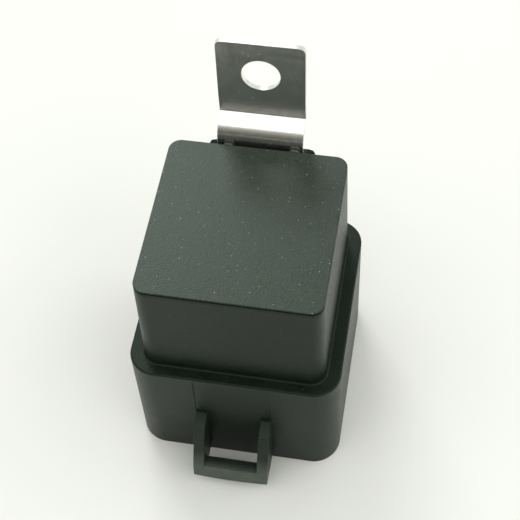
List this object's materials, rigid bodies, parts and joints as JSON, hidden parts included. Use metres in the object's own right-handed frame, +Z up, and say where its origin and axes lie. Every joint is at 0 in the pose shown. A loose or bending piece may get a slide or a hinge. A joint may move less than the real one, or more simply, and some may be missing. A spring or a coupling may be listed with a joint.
{
  "type": "automotive relay",
  "caption": "Sealed plug-in automotive relay: tapered cap on a deep socket skirt with a latch loop, blade terminals inside, and a cranked metal strap bracket on the back.",
  "frame": {"origin": "centre of the skirt's open mouth, on the plane that the relay stands on", "axes": "+Z up, out of the cap's top; -Y towards the latch loop; +Y towards the bracket; +X to the right, seen from the latch side"},
  "size_m": [0.0326, 0.041, 0.0597],
  "materials": {
    "cover_plastic": "fine spark-eroded matte, moulded",
    "bracket_steel": "bright rolled sheet",
    "base_plastic": "moulded",
    "sealing_epoxy": "poured, self-levelled",
    "tinned_brass": "tin plated",
    "soft_iron": "zinc plated",
    "bobbin_nylon": "moulded, natural",
    "enamelled_copper": "enamelled winding wire",
    "spring_bronze": "rolled strip",
    "rivet_steel": "headed",
    "contact_silver": "silver alloy",
    "spring_steel": "drawn wire",
    "braided_copper": "braided fine wire"
  },
  "bodies": {
    "housing": {"cover": "cover_plastic", "mounting_bracket": "bracket_steel", "base_plate": "base_plastic", "potting_seal": "sealing_epoxy", "terminal_30": "tinned_brass", "terminal_85": "tinned_brass", "terminal_86": "tinned_brass", "terminal_87": "tinned_brass", "terminal_87a": "tinned_brass", "yoke": "soft_iron", "iron_core": "soft_iron", "bobbin": "bobbin_nylon", "coil_winding": "enamelled_copper", "coil_lead_85": "enamelled_copper", "coil_lead_86": "enamelled_copper", "fixed_contact_open": "contact_silver", "fixed_contact_closed": "contact_silver", "return_spring": "spring_steel", "copper_braid": "braided_copper"},
    "armature": {"armature": "soft_iron", "contact_arm": "spring_bronze", "arm_rivets": "rivet_steel", "moving_contact": "contact_silver"}
  },
  "joints": [
    {"name": "armature_pivot", "type": "hinge", "parent": "housing", "child": "armature", "pos_m": [0, 0.0095, 0.03503], "axis": [1, 0, 0], "range_deg": [0, 3], "stiffness_Nm_per_rad": 0.004, "springref_deg": -11.46, "deforming": ["return_spring", "copper_braid"]}
  ]
}
